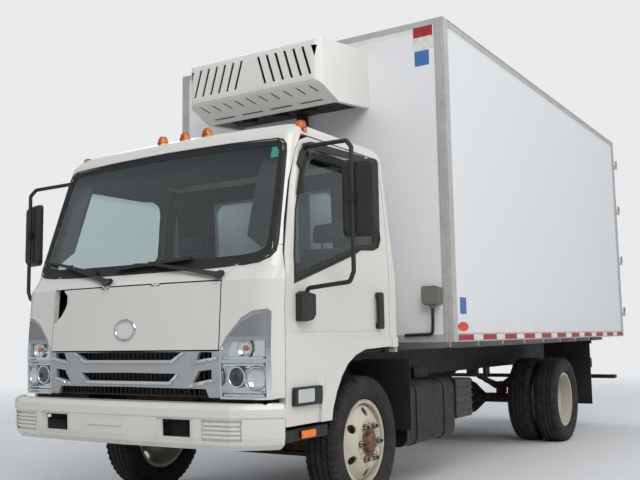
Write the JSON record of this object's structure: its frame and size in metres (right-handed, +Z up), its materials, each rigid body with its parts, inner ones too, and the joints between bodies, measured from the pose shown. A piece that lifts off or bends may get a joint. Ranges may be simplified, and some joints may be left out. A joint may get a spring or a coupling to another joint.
{
  "type": "refrigerated box truck",
  "caption": "Tilt-cab light truck with an insulated box body, a nose-mounted cooling unit, twin rear wheels, swinging cab doors and rear leaves that fold back to the sides.",
  "frame": {"origin": "on the ground, under the middle of the truck's length and width", "axes": "+Z up; the front faces -Y; +X is the truck's left"},
  "size_m": [2.8476, 6.9598, 3.3079],
  "materials": {
    "cab_paint": "gloss",
    "body_panel": "semi-gloss",
    "unit_plastic": "semi-gloss",
    "raw_aluminium": "satin",
    "chassis_black": "satin",
    "black_plastic": "matte",
    "glass": "clear",
    "grille_silver": "satin",
    "lamp_chrome": "polished",
    "tyre": "matte",
    "wheel_paint": "semi-gloss",
    "dark_iron": "rough",
    "lens": "clear",
    "amber_lens": "gloss",
    "seat_cloth": "woven",
    "grey_plastic": "matte"
  },
  "bodies": {
    "chassis": {"frame": "chassis_black", "front_axle": "dark_iron", "rear_axle": "dark_iron", "leaf_springs": "dark_iron", "engine": "dark_iron", "exhaust": "dark_iron", "fuel_tank": "chassis_black", "battery_box": "grey_plastic", "front_bumper": "cab_paint", "mudguards": "black_plastic", "body_floor": "raw_aluminium", "body_front_wall": "body_panel", "body_side_walls": "body_panel", "body_roof": "body_panel", "body_rear_frame": "raw_aluminium", "body_rails": "raw_aluminium", "cooling_cover": "unit_plastic", "cooling_core": "chassis_black", "standby_inlet": "grey_plastic", "standby_cable": "black_plastic", "rear_step": "chassis_black"},
    "cab": {"cab_floor": "chassis_black", "cab_rear_wall": "cab_paint", "cab_roof": "cab_paint", "cab_sides": "cab_paint", "cab_front": "cab_paint", "grille": "grille_silver", "headlamps": "lamp_chrome", "cab_glass": "glass", "dashboard": "black_plastic", "steering_wheel": "black_plastic", "seats": "seat_cloth", "wipers": "black_plastic", "grille_ribs": "black_plastic", "headlamp_lenses": "lens", "marker_lamps": "amber_lens"},
    "front_lid": {"front_panel": "cab_paint"},
    "left_door": {"door_left": "cab_paint", "door_glass_left": "glass", "mirror_left": "black_plastic", "door_trim_left": "black_plastic"},
    "right_door": {"door_right": "cab_paint", "door_glass_right": "glass", "mirror_right": "black_plastic", "door_trim_right": "black_plastic"},
    "left_knuckle": {"knuckle_left": "dark_iron"},
    "right_knuckle": {"knuckle_right": "dark_iron"},
    "steering_link": {"tie_rod": "dark_iron"},
    "left_front_wheel": {"front_tyre_left": "tyre", "front_wheel_left": "wheel_paint"},
    "right_front_wheel": {"front_tyre_right": "tyre", "front_wheel_right": "wheel_paint"},
    "left_rear_wheels": {"rear_tyres_left": "tyre", "rear_wheels_left": "wheel_paint"},
    "right_rear_wheels": {"rear_tyres_right": "tyre", "rear_wheels_right": "wheel_paint"},
    "left_leaf": {"rear_door_left": "body_panel"},
    "right_leaf": {"rear_door_right": "body_panel"}
  },
  "joints": [
    {"name": "cab_tilt", "type": "hinge", "parent": "chassis", "child": "cab", "pos_m": [0, -3.245, 0.8], "axis": [1, 0, 0], "range_deg": [0, 45]},
    {"name": "front_panel_lift", "type": "hinge", "parent": "cab", "child": "front_lid", "pos_m": [0, -3.33, 1.366], "axis": [-1, 0, 0], "range_deg": [0, 60]},
    {"name": "left_door_swing", "type": "hinge", "parent": "cab", "child": "left_door", "pos_m": [0.977, -3.127, 1.3], "axis": [0, 0, -1], "range_deg": [0, 70]},
    {"name": "right_door_swing", "type": "hinge", "parent": "cab", "child": "right_door", "pos_m": [-0.977, -3.127, 1.3], "axis": [0, 0, 1], "range_deg": [0, 70]},
    {"name": "left_leaf_swing", "type": "hinge", "parent": "chassis", "child": "left_leaf", "pos_m": [1.235, 3.455, 2.1], "axis": [0, 0, -1], "range_deg": [0, 270]},
    {"name": "right_leaf_swing", "type": "hinge", "parent": "chassis", "child": "right_leaf", "pos_m": [-1.235, 3.455, 2.1], "axis": [0, 0, 1], "range_deg": [0, 270]},
    {"name": "steer", "type": "hinge", "parent": "chassis", "child": "left_knuckle", "pos_m": [0.735, -2.235, 0.385], "axis": [0, 0, 1], "range_deg": [-35, 35]},
    {"name": "steer_right", "type": "hinge", "parent": "chassis", "child": "right_knuckle", "pos_m": [-0.735, -2.235, 0.385], "axis": [0, 0, 1], "range_deg": [-35, 35]},
    {"name": "tie_rod_turn", "type": "hinge", "parent": "left_knuckle", "child": "steering_link", "pos_m": [0.735, -2.055, 0.3], "axis": [0, 0, 1], "range_deg": [-35, 35]},
    {"name": "roll_front_left", "type": "hinge", "parent": "left_knuckle", "child": "left_front_wheel", "pos_m": [0.8325, -2.235, 0.4055], "axis": [1, 0, 0], "continuous": true},
    {"name": "roll_front_right", "type": "hinge", "parent": "right_knuckle", "child": "right_front_wheel", "pos_m": [-0.8325, -2.235, 0.4055], "axis": [1, 0, 0], "continuous": true},
    {"name": "roll_rear_left", "type": "hinge", "parent": "chassis", "child": "left_rear_wheels", "pos_m": [0.825, 1.575, 0.4055], "axis": [1, 0, 0], "continuous": true},
    {"name": "roll_rear_right", "type": "hinge", "parent": "chassis", "child": "right_rear_wheels", "pos_m": [-0.825, 1.575, 0.4055], "axis": [1, 0, 0], "continuous": true}
  ],
  "couplings": [
    {"joint": "steer_right", "follows": "steer", "ratio": 1},
    {"joint": "tie_rod_turn", "follows": "steer", "ratio": -1}
  ]
}
